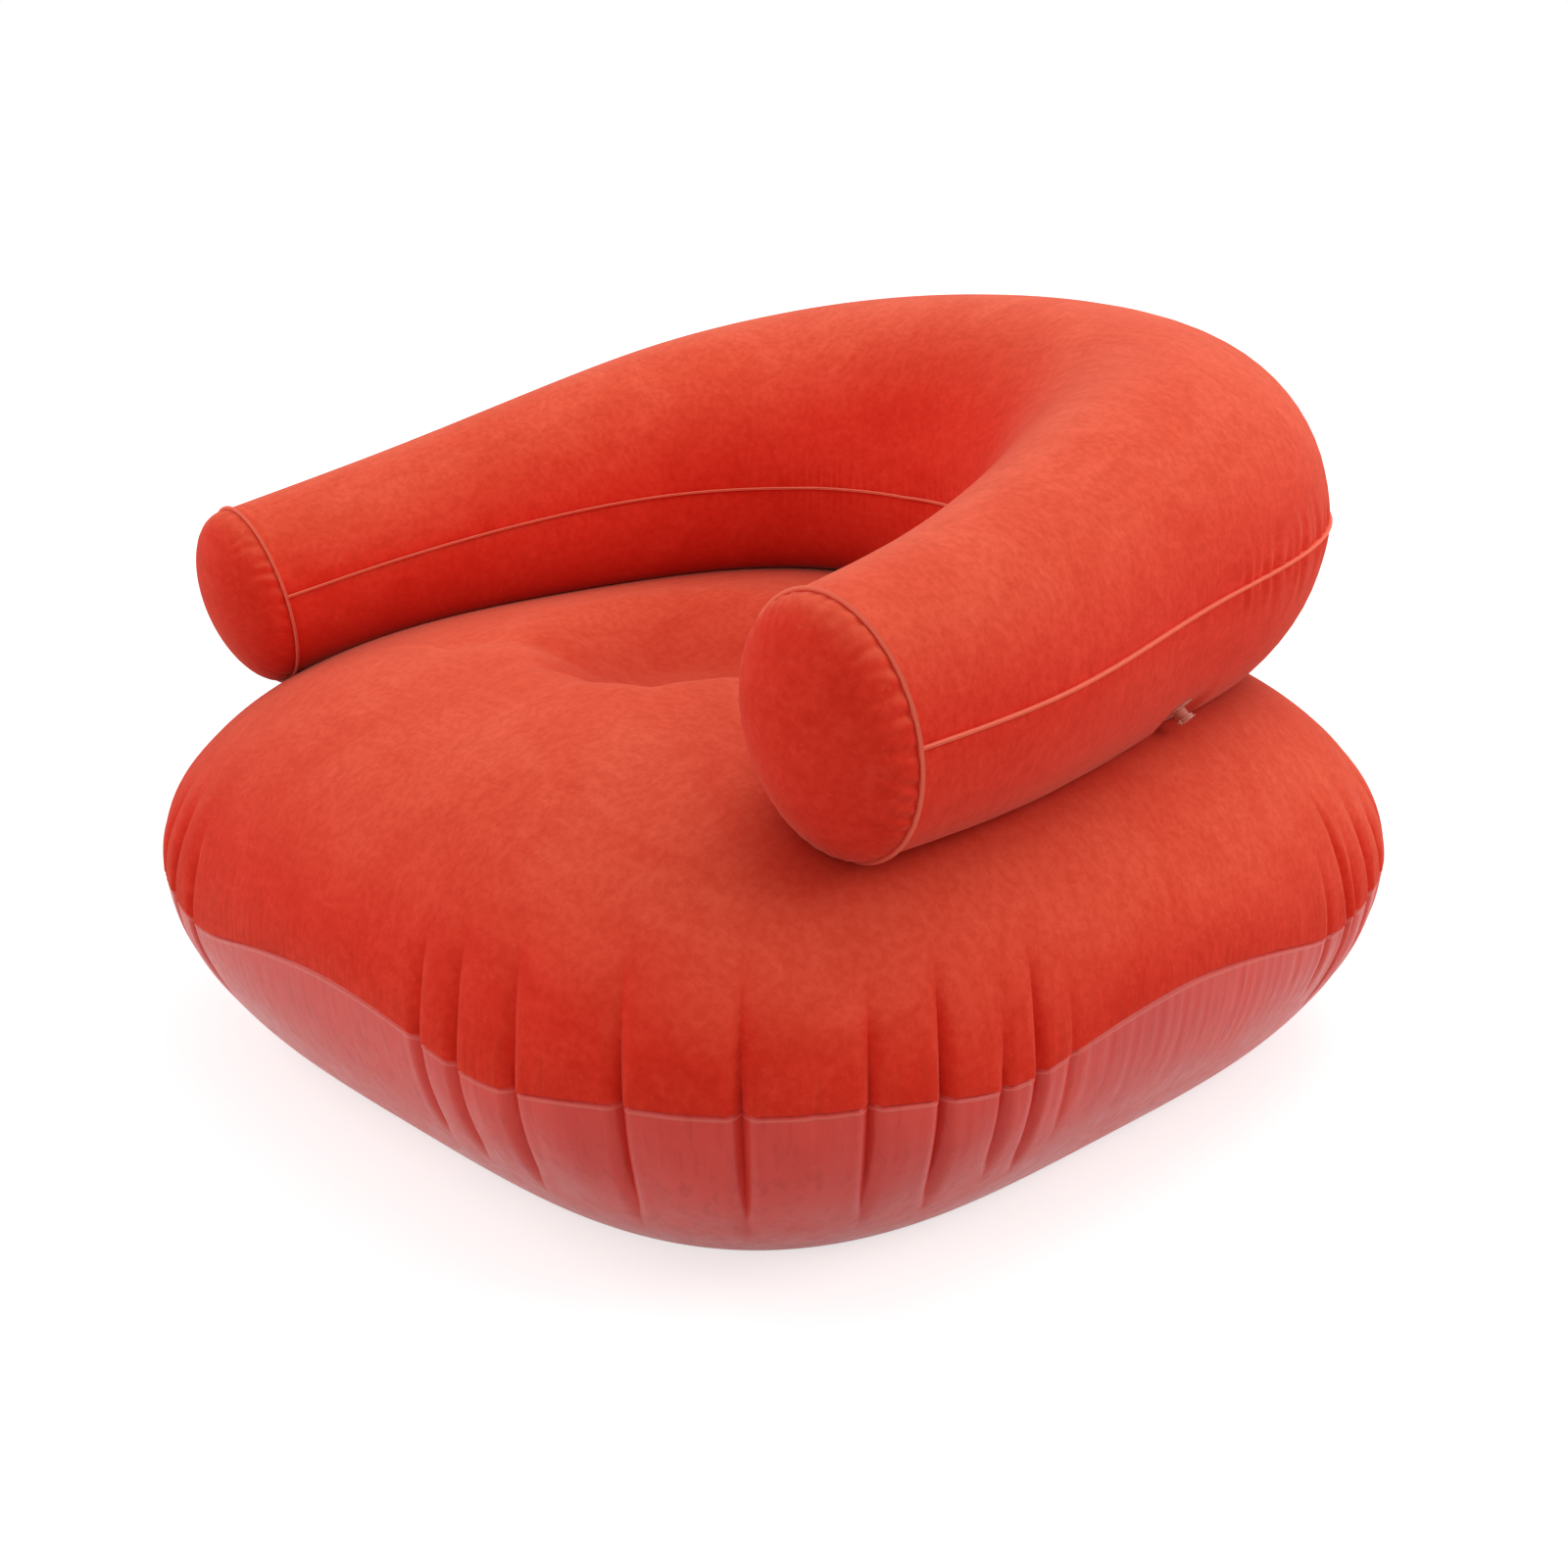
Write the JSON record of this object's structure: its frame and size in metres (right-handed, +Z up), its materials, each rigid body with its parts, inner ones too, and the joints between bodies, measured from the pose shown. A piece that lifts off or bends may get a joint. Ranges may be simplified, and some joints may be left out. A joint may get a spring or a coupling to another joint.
{
  "type": "inflatable armchair",
  "caption": "Single-seat inflatable lounge chair: dimpled pillow base with a smooth lower half, and a fat horseshoe tube on it as arms and back, with air valves.",
  "frame": {"origin": "middle of the chair's overall width and depth, on the floor that it stands on", "axes": "+X to the right as seen from the front, which is the sitter's left and the near arm in the picture; -Y the way the sitter faces; +Z up"},
  "size_m": [1.12, 1.1102, 0.7278],
  "materials": {
    "flocked_film": "short coral-red flock on vinyl film",
    "smooth_film": "satin coral-red vinyl film",
    "tie_film": "satin translucent vinyl film",
    "clear_vinyl": "soft clear moulded vinyl",
    "valve_plug": "satin moulded grey plastic",
    "valve_rubber": "matt black soft rubber"
  },
  "bodies": {
    "chair_body": {"seat_top_panel": "flocked_film", "base_lower_panel": "smooth_film", "tie_upper_disc": "tie_film", "tie_column": "tie_film", "tie_lower_disc": "tie_film", "arm_upper_panel": "flocked_film", "arm_lower_panel": "flocked_film", "arm_end_cap_right": "flocked_film", "arm_end_cap_left": "flocked_film", "weld_pad_front_right": "smooth_film", "weld_pad_rear_right": "smooth_film", "weld_pad_back": "smooth_film", "weld_pad_rear_left": "smooth_film", "weld_pad_front_left": "smooth_film", "base_valve_flange": "clear_vinyl", "arm_valve_flange": "clear_vinyl"},
    "tether_ring": {"base_valve_tether": "clear_vinyl"},
    "plug": {"base_valve_plug": "valve_plug", "base_valve_gasket": "valve_rubber"},
    "cap": {"inflation_cap": "valve_plug"},
    "plug_flap": {"base_valve_flap": "valve_rubber"},
    "stem": {"arm_valve_stem": "clear_vinyl"},
    "stopper": {"arm_valve_stopper": "clear_vinyl"},
    "stem_flap": {"arm_valve_flap": "valve_rubber"}
  },
  "joints": [
    {"name": "ring_slide", "type": "slide", "parent": "chair_body", "child": "tether_ring", "axis": [0, 0.9197, -0.3927], "range_m": [0, 0.0046]},
    {"name": "plug_turn", "type": "hinge", "parent": "tether_ring", "child": "plug", "pos_m": [0, 0.51511, 0.10103], "axis": [0, 0.9197, -0.3927], "range_deg": [0, 540]},
    {"name": "cap_flip", "type": "hinge", "parent": "plug", "child": "cap", "pos_m": [0, 0.52772, 0.10815], "axis": [1, 0, 0], "range_deg": [0, 100]},
    {"name": "plug_flap_fold", "type": "hinge", "parent": "plug", "child": "plug_flap", "pos_m": [0, 0.5041, 0.11421], "axis": [-1, 0, 0], "range_deg": [0, 55], "stiffness_Nm_per_rad": 0.0002},
    {"name": "stem_push", "type": "slide", "parent": "chair_body", "child": "stem", "axis": [0.6869, 0.1423, -0.7127], "range_m": [-0.0085, 0]},
    {"name": "stopper_pull", "type": "slide", "parent": "stem", "child": "stopper", "axis": [0.6869, 0.1423, -0.7127], "range_m": [0, 0.008]},
    {"name": "stem_flap_fold", "type": "hinge", "parent": "stem", "child": "stem_flap", "pos_m": [0.4345, 0.11016, 0.40033], "axis": [-0.1377, 0.9884, 0.0646], "range_deg": [0, 50], "stiffness_Nm_per_rad": 0.0002}
  ],
  "couplings": [
    {"joint": "ring_slide", "follows": "plug_turn", "m_per_rad": 0.00047746}
  ]
}
